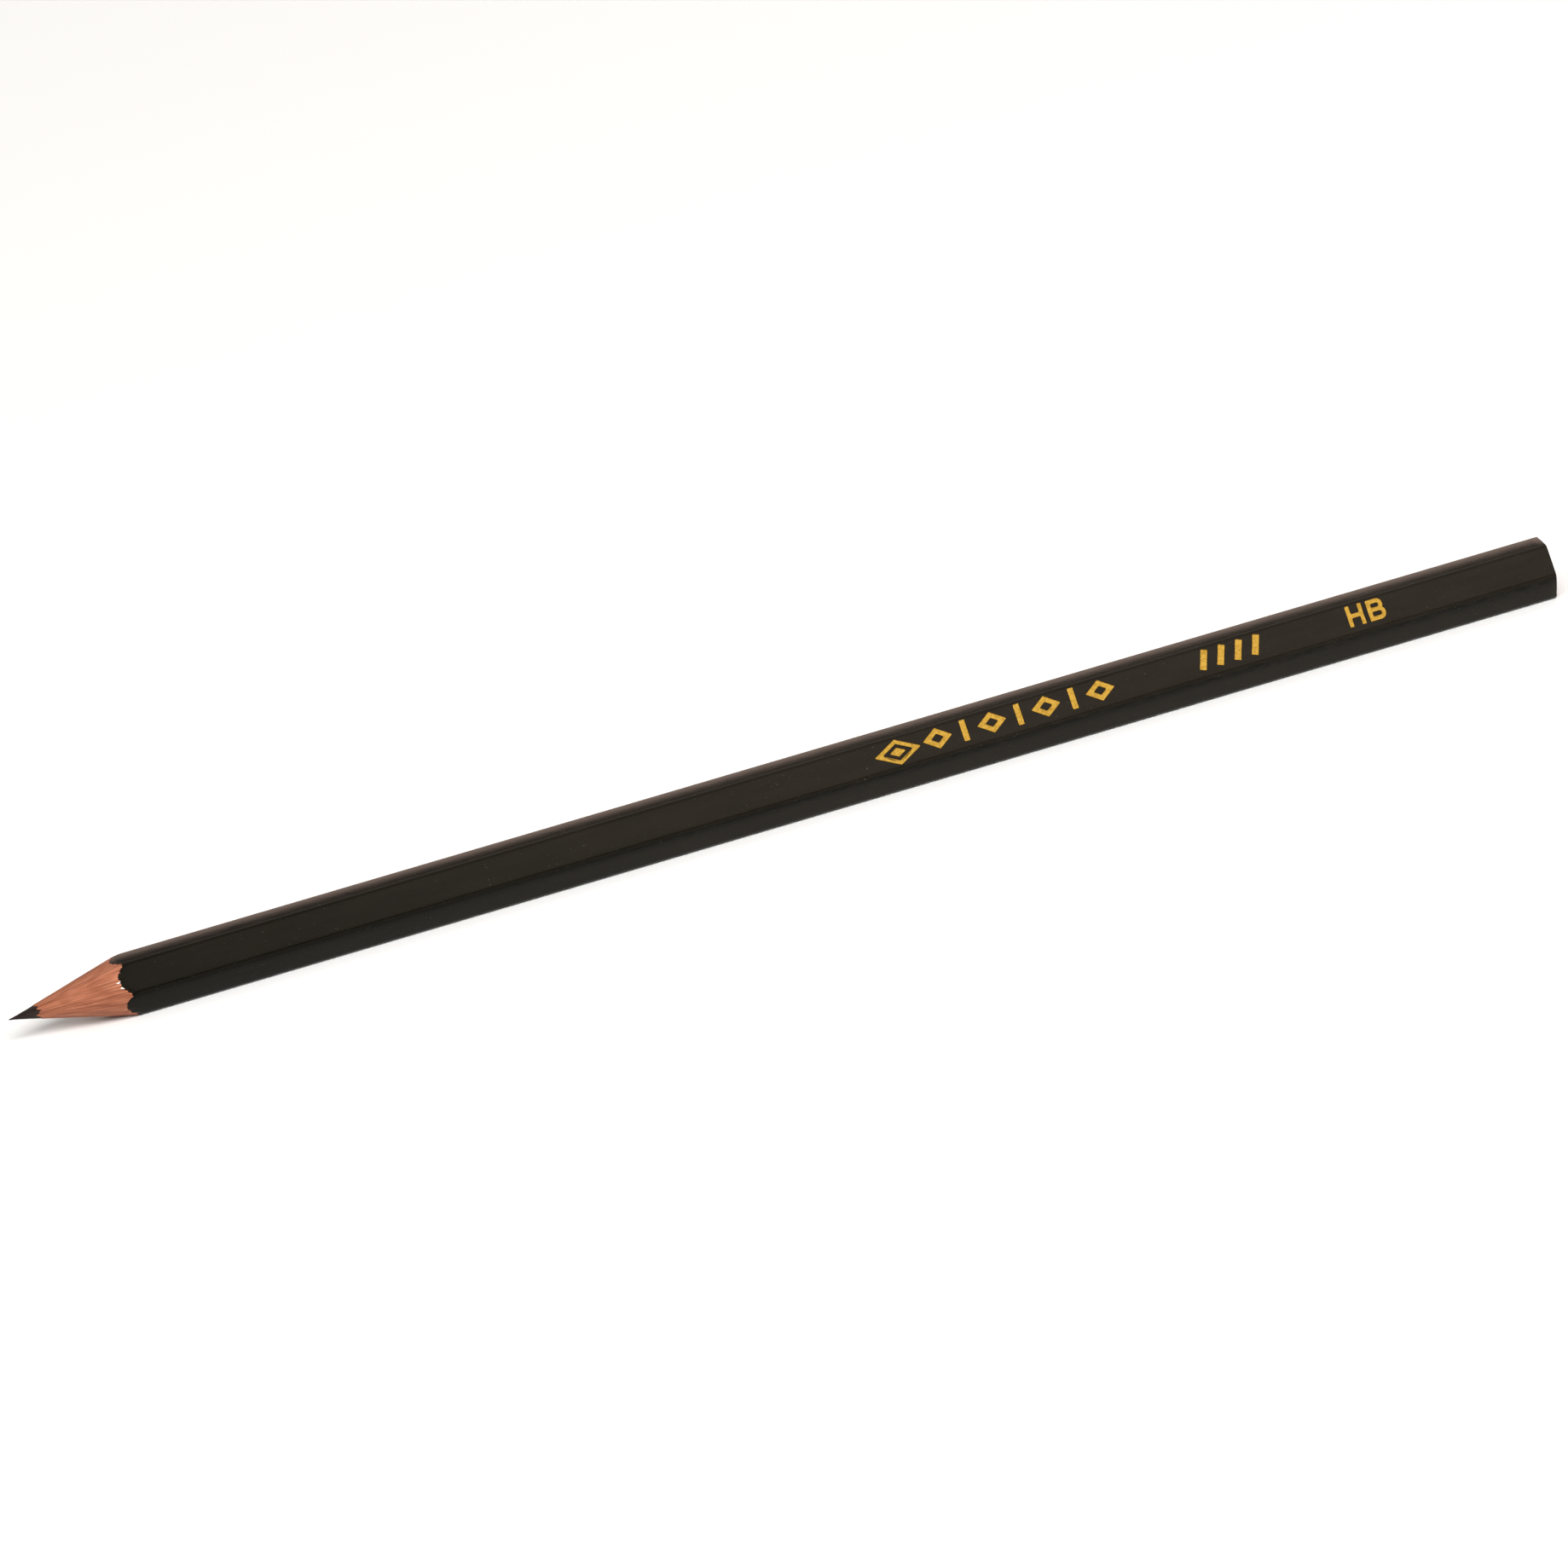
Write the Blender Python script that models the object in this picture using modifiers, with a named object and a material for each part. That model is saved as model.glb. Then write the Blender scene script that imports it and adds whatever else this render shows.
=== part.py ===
"""Sharpened hexagonal graphite pencil.

The pencil lies on one of its six flats with its point towards -X and its plain sawn end towards +X.
The origin is under the middle of its length, on the surface that it rests on. Blender 4.5, metres, +Z up.
"""

import math

import bmesh
import bpy
from mathutils import Matrix, Vector

MM = 0.001

# The whole pencil
LENGTH = 181.0 * MM  # point to sawn end
ACROSS_FLATS = 6.5 * MM  # over the lacquer
EDGE_RADIUS = 1.00 * MM  # the six long edges, over the lacquer
AXIS_HEIGHT = ACROSS_FLATS / 2

# The layers, from the outside in
LACQUER_THICKNESS = 0.12 * MM
PRIMER_THICKNESS = 0.05 * MM
GLUE_THICKNESS = 0.04 * MM
CORE_RADIUS = 0.90 * MM
GAP = 0.01 * MM  # between two pieces that touch on the real pencil

PRIMER_INSET = LACQUER_THICKNESS + GAP
WOOD_INSET = PRIMER_INSET + PRIMER_THICKNESS + GAP
GLUE_INNER_RADIUS = CORE_RADIUS + GAP
GLUE_OUTER_RADIUS = GLUE_INNER_RADIUS + GLUE_THICKNESS
GROOVE_RADIUS = GLUE_OUTER_RADIUS + GAP
SLAT_HALF_GAP = GLUE_THICKNESS / 2 + GAP

# The sharpened cone
CONE_HALF_ANGLE = math.radians(14.35)
TIP_RADIUS = 0.08 * MM

# The gold foil, pressed into the lacquer of the face that looks up and to the front
MARK_FACE_ANGLE = math.radians(30)  # the face's normal above the horizontal
POCKET_DEPTH = 0.06 * MM
POCKET_MARGIN = 0.01 * MM
FOIL_THICKNESS = 0.04 * MM
FOIL_BOTTOM = -POCKET_DEPTH + GAP
MARK_HEIGHT = 2.45 * MM
MARK_RISE = 0.34 * MM  # the marks' middle above the middle of the face
STROKE = 0.50 * MM
EMBLEM_FROM_POINT = 103.5 * MM
EMBLEM_RISE = 0.10 * MM
EMBLEM_HALF_WIDTH = 2.75 * MM
EMBLEM_HALF_HEIGHT = 1.48 * MM
EMBLEM_HOLE_SHARE = 0.64
EMBLEM_CORE_SHARE = 0.36
BAND_FROM_POINT = 117.85 * MM
BAND_PITCH = 3.20 * MM
BAND_COUNT = 7  # diamonds and bars in turn, with a diamond at both ends
BAND_DIAMOND_HALF_WIDTH = 1.75 * MM
BAND_DIAMOND_HOLE_SHARE = 0.42
BAND_BAR_WIDTH = 0.70 * MM
SLASH_FROM_POINT = 142.8 * MM
SLASH_PITCH = 2.05 * MM
SLASH_WIDTH = 0.80 * MM
SLASH_HEIGHT = 2.34 * MM
SLASH_COUNT = 4
SLASH_LEAN = math.radians(20)
LETTERS_FROM_POINT = 159.0 * MM
LETTER_H_WIDTH = 1.95 * MM
LETTER_B_WIDTH = 2.00 * MM
LETTER_SPACE = 0.48 * MM
LETTER_B_LOWER_SHARE = 0.53  # of the open height, in the lower bowl
LETTER_B_UPPER_INSET = STROKE / 4  # the upper bowl's right side from the lower one's

# How finely round shapes are faceted
TURN_STEPS = 96
EDGE_STEPS = 6
ROUND_PROFILE = 0.5  # the bevel profile that is a circular arc
TIP_STEPS = 4
BOWL_STEPS = 12
OVERSHOOT = 2.0 * MM  # how far a cutter goes past what it cuts
SMOOTH_ANGLE = math.radians(25)
MERGE_DISTANCE = 0.0001 * MM

# colour (linear RGB), roughness, metallic
FINISHES = {
    "graphite": ((0.030, 0.027, 0.027), 0.45, 0.35),
    "cedar": ((0.560, 0.230, 0.130), 0.75, 0.0),
    "wood_glue": ((0.640, 0.480, 0.260), 0.45, 0.0),
    "white_primer": ((0.740, 0.700, 0.640), 0.65, 0.0),
    "black_lacquer": ((0.026, 0.021, 0.015), 0.32, 0.0),
    "gold_foil": ((0.700, 0.400, 0.070), 0.28, 1.0),
}


def clear_scene():
    for obj in list(bpy.data.objects):
        bpy.data.objects.remove(obj, do_unlink=True)


def new_collection(name):
    collection = bpy.data.collections.new(name)
    bpy.context.scene.collection.children.link(collection)
    return collection


def make_material(name):
    colour, roughness, metallic = FINISHES[name]
    material = bpy.data.materials.new(name)
    material.use_nodes = True
    shader = material.node_tree.nodes["Principled BSDF"]
    shader.inputs["Base Color"].default_value = (*colour, 1)
    shader.inputs["Roughness"].default_value = roughness
    shader.inputs["Metallic"].default_value = metallic
    material.diffuse_color = (*colour, 1)
    return material


def add_object(name, mesh, collection, material=None):
    obj = bpy.data.objects.new(name, mesh)
    collection.objects.link(obj)
    if material:
        mesh.materials.append(material)
    return obj


def as_cutter(obj):
    obj.hide_render = True
    obj.display_type = "WIRE"
    return obj


def cut(obj, cutter, operation="DIFFERENCE"):
    """Adds an exact Boolean to the object."""
    modifier = obj.modifiers.new(operation.lower() + "_" + cutter.name, "BOOLEAN")
    modifier.operation = operation
    modifier.solver = "EXACT"
    modifier.object = cutter


def apply_and_shade(obj):
    """Applies the modifiers, and then shades round stretches smooth and leaves real edges sharp."""
    depsgraph = bpy.context.evaluated_depsgraph_get()
    mesh = bpy.data.meshes.new_from_object(obj.evaluated_get(depsgraph))
    obj.modifiers.clear()
    obj.data = mesh
    mesh.name = obj.name
    mesh.shade_smooth()
    mesh.set_sharp_from_angle(angle=SMOOTH_ANGLE)


def hexagon_bar(name, inset, overshoot, collection, material=None):
    """A six-sided bar with round edges, inset from the lacquer's faces, with a flat face down."""
    half_flat = ACROSS_FLATS / 2 - inset
    radius = half_flat / math.cos(math.radians(30))
    bm = bmesh.new()
    bmesh.ops.create_cone(
        bm, cap_ends=True, segments=6, radius1=radius, radius2=radius, depth=LENGTH + 2 * overshoot
    )
    # create_cone puts a corner on its own Y axis, and laid down along X the corners point along +Y and -Y
    bmesh.ops.transform(bm, matrix=Matrix.Rotation(math.pi / 2, 4, "Y"), verts=bm.verts)
    long_edges = [e for e in bm.edges if abs(e.verts[0].co.x - e.verts[1].co.x) > LENGTH / 2]
    bmesh.ops.bevel(
        bm,
        geom=long_edges,
        offset=(EDGE_RADIUS - inset) * math.tan(math.radians(30)),
        offset_type="OFFSET",
        segments=EDGE_STEPS,
        profile=ROUND_PROFILE,
        affect="EDGES",
    )
    mesh = bpy.data.meshes.new(name)
    bm.to_mesh(mesh)
    bm.free()
    obj = add_object(name, mesh, collection, material)
    obj.location.z = AXIS_HEIGHT
    return obj


def turned(name, profile, closed, collection, material=None):
    """Turns (radius, distance from the point) pairs about the pencil's axis. They start at the point."""
    verts = [(radius, 0, LENGTH / 2 - along) for radius, along in profile]
    edges = [(i, i + 1) for i in range(len(verts) - 1)]
    if closed:
        edges.append((len(verts) - 1, 0))
    mesh = bpy.data.meshes.new(name)
    mesh.from_pydata(verts, edges, [])
    obj = add_object(name, mesh, collection, material)
    obj.location.z = AXIS_HEIGHT
    obj.rotation_euler.y = -math.pi / 2
    screw = obj.modifiers.new("turn", "SCREW")
    screw.steps = TURN_STEPS
    screw.render_steps = TURN_STEPS
    screw.use_merge_vertices = True
    screw.merge_threshold = MERGE_DISTANCE
    return obj


def cone_profile(radius):
    """The rounded tip and the cone's slope, as far out as the given radius."""
    slope = math.tan(CONE_HALF_ANGLE)
    points = []
    for i in range(TIP_STEPS + 1):
        turn = (math.pi / 2 - CONE_HALF_ANGLE) * i / TIP_STEPS
        points.append((TIP_RADIUS * math.sin(turn), TIP_RADIUS * (1 - math.cos(turn))))
    start_radius, start_along = points[-1]
    points.append((radius, start_along + (radius - start_radius) / slope))
    return points


def distance_to_radius(radius):
    """How far behind the point the cone reaches a radius."""
    return cone_profile(radius)[-1][1]


def make_sharpener(cutters):
    """Everything that the sharpener leaves: a cone that opens behind its slope into a wide cylinder."""
    width = ACROSS_FLATS
    end = LENGTH + OVERSHOOT
    profile = cone_profile(width) + [(width, end), (0, end)]
    return as_cutter(turned("sharpened_shape", profile, False, cutters))


def make_core(parts, material):
    profile = cone_profile(CORE_RADIUS) + [(CORE_RADIUS, LENGTH), (0, LENGTH)]
    return turned("graphite_core", profile, False, parts, material)


def make_core_glue(parts, material):
    """The thin sleeve of glue that holds the core in its groove."""
    profile = [
        (GLUE_INNER_RADIUS, distance_to_radius(GLUE_INNER_RADIUS)),
        (GLUE_OUTER_RADIUS, distance_to_radius(GLUE_OUTER_RADIUS)),
        (GLUE_OUTER_RADIUS, LENGTH),
        (GLUE_INNER_RADIUS, LENGTH),
    ]
    return turned("core_glue", profile, True, parts, material)


def make_groove(cutters):
    ends = (-OVERSHOOT, LENGTH + OVERSHOOT)
    profile = [(0, ends[0]), (GROOVE_RADIUS, ends[0]), (GROOVE_RADIUS, ends[1]), (0, ends[1])]
    return as_cutter(turned("core_groove", profile, False, cutters))


def box_cutter(name, low, high, cutters):
    """A box between two corners given from the pencil's axis."""
    low = Vector(low)
    high = Vector(high)
    bm = bmesh.new()
    bmesh.ops.create_cube(bm, size=1)
    bmesh.ops.scale(bm, vec=high - low, verts=bm.verts)
    bmesh.ops.translate(bm, vec=(low + high) / 2, verts=bm.verts)
    mesh = bpy.data.meshes.new(name)
    bm.to_mesh(mesh)
    bm.free()
    obj = as_cutter(add_object(name, mesh, cutters))
    obj.location.z = AXIS_HEIGHT
    return obj


def make_slats(parts, cutters, groove, sharpener, material):
    """Two half bars of cedar that meet in the plane of the front and back edges."""
    reach = ACROSS_FLATS
    for name, side in (("lower_slat", 1), ("upper_slat", -1)):
        heights = sorted((-side * SLAT_HALF_GAP, side * reach))
        low = (-LENGTH, -reach, heights[0])
        high = (LENGTH, reach, heights[1])
        away = box_cutter(name + "_cutter", low, high, cutters)
        slat = hexagon_bar(name, WOOD_INSET, 0, parts, material)
        cut(slat, away)
        cut(slat, groove)
        cut(slat, sharpener, "INTERSECT")


def make_seam_glue(parts, cutters, groove, sharpener, material):
    """The two films of glue between the slats, one on each side of the core."""
    reach = ACROSS_FLATS
    half = GLUE_THICKNESS / 2
    for name, side in (("front_seam_glue", -1), ("rear_seam_glue", 1)):
        sides = sorted((0, side * reach))
        low = (-LENGTH, sides[0], -half)
        high = (LENGTH, sides[1], half)
        keep = box_cutter(name + "_cutter", low, high, cutters)
        film = hexagon_bar(name, WOOD_INSET, 0, parts, material)
        cut(film, keep, "INTERSECT")
        cut(film, groove)
        cut(film, sharpener, "INTERSECT")


def make_coat(name, inset, thickness, parts, cutters, sharpener, material):
    """A coat of even thickness round the bar, open at both ends."""
    coat = hexagon_bar(name, inset, 0, parts, material)
    inside = hexagon_bar(name + "_inside", inset + thickness, OVERSHOOT, cutters)
    cut(coat, as_cutter(inside))
    cut(coat, sharpener, "INTERSECT")
    return coat


def rectangle(width, height, margin):
    x = width / 2 + margin
    y = height / 2 + margin
    return [(-x, -y), (x, -y), (x, y), (-x, y)]


def diamond(half_width, half_height, margin):
    """A diamond whose sides all move out by the margin."""
    grow = 1 + margin * math.hypot(half_width, half_height) / (half_width * half_height)
    x = half_width * grow
    y = half_height * grow
    return [(-x, 0), (0, -y), (x, 0), (0, y)]


def diamond_frame(half_width, half_height, hole_share, margin):
    outer = diamond(half_width, half_height, margin)
    hole = diamond(half_width * hole_share, half_height * hole_share, -margin)
    return [outer, hole]


def slash(margin):
    lean = Matrix.Rotation(-SLASH_LEAN, 2)
    return [tuple(lean @ Vector(p)) for p in rectangle(SLASH_WIDTH, SLASH_HEIGHT, margin)]


def letter_h(margin):
    """The twelve corners of a capital H, about its middle."""
    x = LETTER_H_WIDTH / 2 + margin
    y = MARK_HEIGHT / 2 + margin
    inner = LETTER_H_WIDTH / 2 - STROKE - margin
    bar = STROKE / 2 + margin
    right = [(inner, -y), (x, -y), (x, y), (inner, y), (inner, bar)]
    left = [(-inner, bar), (-inner, y), (-x, y), (-x, -y), (-inner, -y)]
    return [[(inner, -bar)] + right + left + [(-inner, -bar)]]


def arc(centre, radius, start, end):
    turns = [start + (end - start) * i / BOWL_STEPS for i in range(BOWL_STEPS + 1)]
    return [(centre[0] + radius * math.cos(t), centre[1] + radius * math.sin(t)) for t in turns]


def letter_b(margin):
    """A capital B about its middle: two bowls of round ends, whose outsides meet in a waist."""
    half = MARK_HEIGHT / 2
    free = MARK_HEIGHT - 3 * STROKE
    lower_hole = free * LETTER_B_LOWER_SHARE
    upper_hole = free - lower_hole
    lower_radius = lower_hole / 2 + STROKE
    upper_radius = upper_hole / 2 + STROKE
    right = LETTER_B_WIDTH / 2
    lower = (right - lower_radius, -half + lower_radius)
    upper = (right - LETTER_B_UPPER_INSET - upper_radius, half - upper_radius)
    # the bowls' outer circles meet on a line square to the one between their centres
    between = Vector(upper) - Vector(lower)
    grown_lower = lower_radius + margin
    grown_upper = upper_radius + margin
    along = (between.length_squared + grown_lower**2 - grown_upper**2) / (2 * between.length)
    aside = math.sqrt(grown_lower**2 - along**2)
    forward = between.normalized()
    waist = Vector(lower) + forward * along + Vector((forward.y, -forward.x)) * aside
    lower_end = math.atan2(waist.y - lower[1], waist.x - lower[0])
    upper_start = math.atan2(waist.y - upper[1], waist.x - upper[0])
    outline = [(-right - margin, -half - margin)]
    outline += arc(lower, grown_lower, -math.pi / 2, lower_end)
    outline += arc(upper, grown_upper, upper_start, math.pi / 2)[1:]
    outline.append((-right - margin, half + margin))
    holes = []
    for centre, height in ((lower, lower_hole), (upper, upper_hole)):
        radius = height / 2 - margin
        left = -right + STROKE + margin
        hole = [(left, centre[1] - radius)] + arc(centre, radius, -math.pi / 2, math.pi / 2)
        holes.append(hole + [(left, centre[1] + radius)])
    return [outline] + holes


def face_matrix(from_point, rise):
    """A place on the marked face: x along the pencil, y up the face and z out of it."""
    out = Vector((0, -math.cos(MARK_FACE_ANGLE), math.sin(MARK_FACE_ANGLE)))
    up = Vector((0, math.sin(MARK_FACE_ANGLE), math.cos(MARK_FACE_ANGLE)))
    centre = Vector((from_point - LENGTH / 2, 0, AXIS_HEIGHT)) + out * ACROSS_FLATS / 2 + up * rise
    turn = Matrix((Vector((1, 0, 0)), up, out)).transposed().to_4x4()
    return Matrix.Translation(centre) @ turn


def plate(name, outlines, bottom, thickness, matrix, collection, material=None):
    """A flat plate with the given outlines, as a welded mesh. Outlines after the first are holes."""
    curve = bpy.data.curves.new(name + "_outline", "CURVE")
    curve.dimensions = "2D"
    curve.fill_mode = "BOTH"
    curve.extrude = thickness / 2
    for outline in outlines:
        spline = curve.splines.new("POLY")
        spline.points.add(len(outline) - 1)
        for point, (x, y) in zip(spline.points, outline):
            point.co = (x, y, 0, 1)
        spline.use_cyclic_u = True
    drawn = bpy.data.objects.new(name + "_outline", curve)
    collection.objects.link(drawn)
    drawn.matrix_world = matrix @ Matrix.Translation((0, 0, bottom + thickness / 2))
    depsgraph = bpy.context.evaluated_depsgraph_get()
    mesh = bpy.data.meshes.new_from_object(drawn.evaluated_get(depsgraph))
    mesh.name = name
    bm = bmesh.new()
    bm.from_mesh(mesh)
    bmesh.ops.remove_doubles(bm, verts=bm.verts, dist=MERGE_DISTANCE)
    bmesh.ops.recalc_face_normals(bm, faces=bm.faces)
    bm.to_mesh(mesh)
    bm.free()
    mesh.materials.clear()
    obj = add_object(name, mesh, collection, material)
    obj.matrix_world = drawn.matrix_world.copy()
    bpy.data.objects.remove(drawn, do_unlink=True)
    return obj


def foil_mark(name, shape, from_point, rise, parts, cutters, lacquer, material):
    """A piece of foil, and the shallow pocket that the hot stamp leaves for it in the lacquer.

    shape(margin) gives the outlines, grown by the margin.
    """
    matrix = face_matrix(from_point, rise)
    plate(name, shape(0), FOIL_BOTTOM, FOIL_THICKNESS, matrix, parts, material)
    depth = POCKET_DEPTH + GAP
    pocket = plate(name + "_pocket", shape(POCKET_MARGIN), -POCKET_DEPTH, depth, matrix, cutters)
    cut(lacquer, as_cutter(pocket))


def make_marks(parts, cutters, lacquer, material):
    def add(name, shape, from_point, rise=MARK_RISE):
        foil_mark(name, shape, from_point, rise, parts, cutters, lacquer, material)

    def emblem_frame(margin):
        return diamond_frame(EMBLEM_HALF_WIDTH, EMBLEM_HALF_HEIGHT, EMBLEM_HOLE_SHARE, margin)

    def emblem_core(margin):
        share = EMBLEM_CORE_SHARE
        return [diamond(EMBLEM_HALF_WIDTH * share, EMBLEM_HALF_HEIGHT * share, margin)]

    def band_diamond(margin):
        return diamond_frame(BAND_DIAMOND_HALF_WIDTH, MARK_HEIGHT / 2, BAND_DIAMOND_HOLE_SHARE, margin)

    def band_bar(margin):
        return [rectangle(BAND_BAR_WIDTH, MARK_HEIGHT, margin)]

    add("emblem_frame", emblem_frame, EMBLEM_FROM_POINT, EMBLEM_RISE)
    add("emblem_centre", emblem_core, EMBLEM_FROM_POINT, EMBLEM_RISE)
    for i in range(BAND_COUNT):
        along = BAND_FROM_POINT + (i - (BAND_COUNT - 1) / 2) * BAND_PITCH
        kind, shape = (("diamond", band_diamond), ("bar", band_bar))[i % 2]
        add(f"band_{kind}_{i // 2 + 1}", shape, along)
    for i in range(SLASH_COUNT):
        along = SLASH_FROM_POINT + (i - (SLASH_COUNT - 1) / 2) * SLASH_PITCH
        add(f"slash_bar_{i + 1}", lambda margin: [slash(margin)], along)
    letters_width = LETTER_H_WIDTH + LETTER_SPACE + LETTER_B_WIDTH
    letters_start = LETTERS_FROM_POINT - letters_width / 2
    add("grade_letter_h", letter_h, letters_start + LETTER_H_WIDTH / 2)
    add("grade_letter_b", letter_b, letters_start + letters_width - LETTER_B_WIDTH / 2)


def main():
    clear_scene()
    parts = new_collection("graphite_pencil")
    cutters = new_collection("cutters")
    materials = {name: make_material(name) for name in FINISHES}
    sharpener = make_sharpener(cutters)
    groove = make_groove(cutters)
    make_core(parts, materials["graphite"])
    make_core_glue(parts, materials["wood_glue"])
    make_slats(parts, cutters, groove, sharpener, materials["cedar"])
    make_seam_glue(parts, cutters, groove, sharpener, materials["wood_glue"])
    primer = materials["white_primer"]
    make_coat("primer_coat", PRIMER_INSET, PRIMER_THICKNESS, parts, cutters, sharpener, primer)
    black = materials["black_lacquer"]
    lacquer = make_coat("lacquer_coat", 0, LACQUER_THICKNESS, parts, cutters, sharpener, black)
    make_marks(parts, cutters, lacquer, materials["gold_foil"])
    for obj in parts.objects:
        apply_and_shade(obj)


main()
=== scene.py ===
"""The looks of a sharpened black graphite pencil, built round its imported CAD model.

Lengths are millimetres while a mesh is worked out, and metres in Blender. The pencil lies along X with its
point towards -X. A profile walks once round the bar's six flats and round edges, and a place is an index into it.
"""

import math

import bmesh
import bpy
import numpy as np
from mathutils import Matrix, Vector


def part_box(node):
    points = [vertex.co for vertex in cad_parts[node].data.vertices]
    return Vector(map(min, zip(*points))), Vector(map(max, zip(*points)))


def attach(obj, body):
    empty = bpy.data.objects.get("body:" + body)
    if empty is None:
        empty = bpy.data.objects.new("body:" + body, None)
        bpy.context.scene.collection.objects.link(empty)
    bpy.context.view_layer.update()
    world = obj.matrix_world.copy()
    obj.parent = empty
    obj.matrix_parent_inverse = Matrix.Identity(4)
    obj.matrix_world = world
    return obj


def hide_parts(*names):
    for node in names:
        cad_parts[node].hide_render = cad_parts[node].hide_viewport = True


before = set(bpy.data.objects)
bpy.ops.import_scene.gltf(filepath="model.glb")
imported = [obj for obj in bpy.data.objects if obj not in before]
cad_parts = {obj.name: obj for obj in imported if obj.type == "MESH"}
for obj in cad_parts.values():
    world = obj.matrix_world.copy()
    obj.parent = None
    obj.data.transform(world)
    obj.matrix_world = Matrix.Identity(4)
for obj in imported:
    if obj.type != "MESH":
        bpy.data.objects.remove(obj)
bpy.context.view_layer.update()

MM = 0.001
BODY = "root"

# ------------------------------------------------------------------ sizes from the CAD model, in millimetres


def box_mm(node):
    low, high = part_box(node)
    return np.array(low) / MM, np.array(high) / MM


LACQUER_LOW, LACQUER_HIGH = box_mm("lacquer_coat")
CORE_LOW, CORE_HIGH = box_mm("graphite_core")

POINT_X = CORE_LOW[0]
END_X = CORE_HIGH[0]
LENGTH = END_X - POINT_X
AXIS_Z = (LACQUER_LOW[2] + LACQUER_HIGH[2]) / 2
HALF_FLAT = (LACQUER_HIGH[2] - LACQUER_LOW[2]) / 2
HALF_CORNER = LACQUER_HIGH[1]
COS_30 = math.cos(math.radians(30))
EDGE_RADIUS = 0.80
CROWN = 0.04  # how far the middle of each flat stands out from its sides
FLAT_HALF_WIDTH = (HALF_FLAT - EDGE_RADIUS) / COS_30 / 2
CORE_RADIUS = CORE_HIGH[1]

CONE_SLOPE = math.tan(math.radians(14.35))  # radius gained for each millimetre behind the point
CONE_LEAN = np.array((-0.0055, 0.0082))  # the sharpener's axis leans towards the front and up
LACQUER = 0.09  # thickness of the visible coat at its sharpened edge
UNDER_LACQUER = 0.10  # inset of the wood's surface from the lacquer's
GROOVE = CORE_RADIUS + 0.06  # radius of the groove in the slats
SEAM = 0.012  # half the gap between the slats
MARK_OUT = np.array((-COS_30, 0.5))  # out of the marked face, and up it, as (y, z)
MARK_UP = np.array((0.5, COS_30))
FLECKS = ((-0.05, 0.09), (-0.72, 0.12), (1.45, 0.05))  # (place up the marked face, half width) of primer

# ------------------------------------------------------------------ the camera and the light

CAMERA_AZIMUTH = math.radians(12.5)
CAMERA_ELEVATION = math.radians(20.35)
CAMERA_ROLL = math.radians(-12.0)
CAMERA_DISTANCE = 2.4
CAMERA_LENS = 498.4
CAMERA_CLIP_START = 0.01
CAMERA_AIM_UP = 0.85 * MM
CAMERA_AIM_RIGHT = 0.07 * MM
SOFT_BOXES = {
    # name: (centre, size, radiance, colour, seen by matt surfaces, seen in gloss)
    "key": ((0.1, -1.35, 1.25), (2.8, 1.1), 7.2, (1.0, 0.99, 0.975), True, False),
    "overhead": ((0.0, 0.1, 1.6), (2.6, 2.0), 0.40, (1.0, 0.99, 0.975), True, True),
    "rear": ((0.0, 1.3, 1.35), (2.4, 0.8), 1.1, (1.0, 0.88, 0.78), True, True),
    "back_panel": ((0.3, 1.6, 0.29), (3.2, 0.60), 1.45, (1.0, 0.72, 0.60), False, True),
    "front_panel": ((0.35, -1.27, 1.30), (1.6, 1.5), 1.15, (1.0, 0.97, 0.93), False, True),
    "right_panel": ((1.3, -0.5, 0.6), (0.8, 0.8), 2.4, (1.0, 0.97, 0.92), False, True),
}
WORLD_STRENGTH = 0.12
WORLD_COLOUR = (1.0, 0.985, 0.965, 1)
FLOOR_SIZE = 8
FLOOR_COLOUR = (0.86, 0.86, 0.855, 1)
FLOOR_ROUGHNESS = 0.9


def link(obj):
    bpy.context.scene.collection.objects.link(obj)
    return obj


def aim(obj, target):
    obj.rotation_euler = (target - obj.location).to_track_quat("-Z", "Y").to_euler()


def make_camera():
    data = bpy.data.cameras.new("camera")
    data.lens = CAMERA_LENS
    data.clip_start = CAMERA_CLIP_START
    forward = Vector(
        (
            math.sin(CAMERA_AZIMUTH) * math.cos(CAMERA_ELEVATION),
            math.cos(CAMERA_AZIMUTH) * math.cos(CAMERA_ELEVATION),
            -math.sin(CAMERA_ELEVATION),
        )
    )
    level = forward.cross(Vector((0, 0, 1))).normalized()
    right = Matrix.Rotation(-CAMERA_ROLL, 3, forward) @ level
    up = right.cross(forward)
    target = Vector((0, 0, AXIS_Z * MM)) + right * CAMERA_AIM_RIGHT + up * CAMERA_AIM_UP
    camera = link(bpy.data.objects.new("camera", data))
    camera.matrix_world = Matrix.LocRotScale(
        target - forward * CAMERA_DISTANCE, Matrix((right, up, -forward)).transposed(), None
    )
    bpy.context.scene.camera = camera


def make_soft_box(name, centre, size, radiance, colour, lights_matt, lights_gloss):
    data = bpy.data.lights.new(name, "AREA")
    data.shape = "RECTANGLE"
    data.size, data.size_y = size
    data.energy = radiance * math.pi * size[0] * size[1]
    data.color = colour
    lamp = link(bpy.data.objects.new(name, data))
    lamp.visible_camera = False
    lamp.visible_diffuse = lights_matt
    lamp.visible_glossy = lights_gloss
    lamp.location = centre
    aim(lamp, Vector((0, 0, 0)))


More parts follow.
